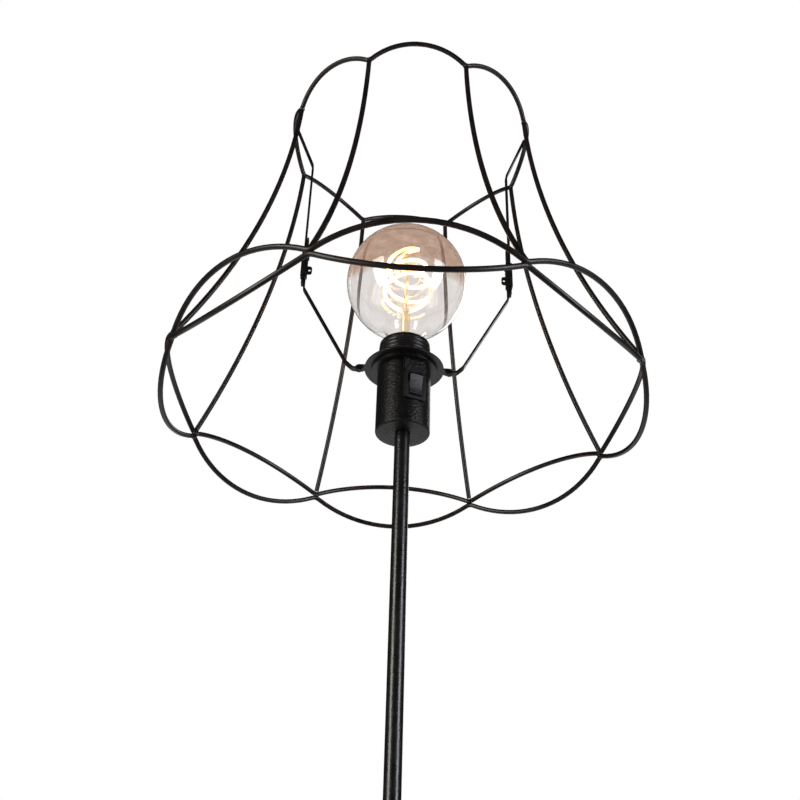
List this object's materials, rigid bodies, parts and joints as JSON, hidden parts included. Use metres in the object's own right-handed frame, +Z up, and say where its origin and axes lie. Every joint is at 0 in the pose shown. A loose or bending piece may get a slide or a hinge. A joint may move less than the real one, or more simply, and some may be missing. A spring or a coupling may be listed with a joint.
{
  "type": "wire cage floor lamp",
  "caption": "Free-standing floor lamp: slim pole on a round weighted base, switched lampholder with a globe bulb, and a flared scalloped wire cage whose height adjusts in clips.",
  "frame": {"origin": "centre of the base's underside, on the floor", "axes": "+Z up along the pole, +X to the right as seen from the front, -Y towards the front, where the rocker switch faces"},
  "size_m": [0.3538, 0.3538, 1.6042],
  "materials": {
    "base_powder_coat": "fine-textured matt black powder coat",
    "pole_powder_coat": "fine-textured semi-gloss black powder coat",
    "cage_enamel": "satin black enamel with a faint brown cast",
    "arm_enamel": "satin black enamel",
    "clip_enamel": "satin black enamel",
    "cup_powder_coat": "orange-peel textured black powder coat",
    "phenolic_black": "moulded black phenolic",
    "switch_nylon": "moulded black nylon",
    "rocker_gloss": "glossy moulded black",
    "zinc_steel": "zinc-plated steel",
    "grey_iron": "as cast",
    "foot_rubber": "matt black rubber",
    "holder_ceramic": "unglazed steatite",
    "contact_brass": "stamped brass",
    "smoked_glass": "clear blown glass, smoky brown towards the top",
    "clear_glass": "clear glass",
    "cap_nickel": "nickel-plated",
    "cap_solder": "solder",
    "black_vitrite": "glossy black glass",
    "glowing_filament": "glowing warm white"
  },
  "bodies": {
    "stand": {"base_cover": "base_powder_coat", "pole_lower": "pole_powder_coat", "pole_middle": "pole_powder_coat", "pole_upper": "pole_powder_coat", "lower_arm_left": "arm_enamel", "lower_arm_right": "arm_enamel", "fitter_ring": "arm_enamel", "clip_left": "clip_enamel", "clip_right": "clip_enamel", "clip_rivets": "clip_enamel", "ear_rivets": "clip_enamel", "holder_cup": "cup_powder_coat", "holder_barrel": "phenolic_black", "clamp_ring": "phenolic_black", "switch_housing": "switch_nylon", "base_nipple": "zinc_steel", "base_nut": "zinc_steel", "base_washer": "zinc_steel", "pole_coupler_lower": "zinc_steel", "pole_coupler_upper": "zinc_steel", "cup_nut": "zinc_steel", "holder_nipple": "zinc_steel", "terminal_screws": "zinc_steel", "rocker_pin": "zinc_steel", "base_weight": "grey_iron", "base_pad": "foot_rubber", "cord_bush": "foot_rubber", "holder_core": "holder_ceramic", "screw_shell": "contact_brass", "centre_contact": "contact_brass", "switch_terminals": "contact_brass", "switch_bridge": "contact_brass", "bulb_glass": "smoked_glass", "bulb_stem": "clear_glass", "bulb_cap": "cap_nickel", "filament_supports": "cap_nickel", "cap_contact": "cap_solder", "cap_insulator": "black_vitrite", "filament": "glowing_filament"},
    "cage": {"top_ring": "cage_enamel", "hoop_upper": "cage_enamel", "hoop_lower": "cage_enamel", "rib_1": "cage_enamel", "rib_2": "cage_enamel", "rib_3": "cage_enamel", "rib_4": "cage_enamel", "rib_5": "cage_enamel", "rib_6": "cage_enamel", "rib_7": "cage_enamel", "rib_8": "cage_enamel", "upper_arm_left": "arm_enamel", "upper_arm_right": "arm_enamel"},
    "rocker": {"switch_rocker": "rocker_gloss"}
  },
  "joints": [
    {"name": "cage_height", "type": "slide", "parent": "stand", "child": "cage", "axis": [0, 0, 1], "range_m": [-0.06, 0.012]},
    {"name": "switch_rocker", "type": "hinge", "parent": "stand", "child": "rocker", "pos_m": [0.00638, -0.01662, 1.3282], "axis": [0.9336, 0.3584, 0], "range_deg": [-16, 0]}
  ]
}
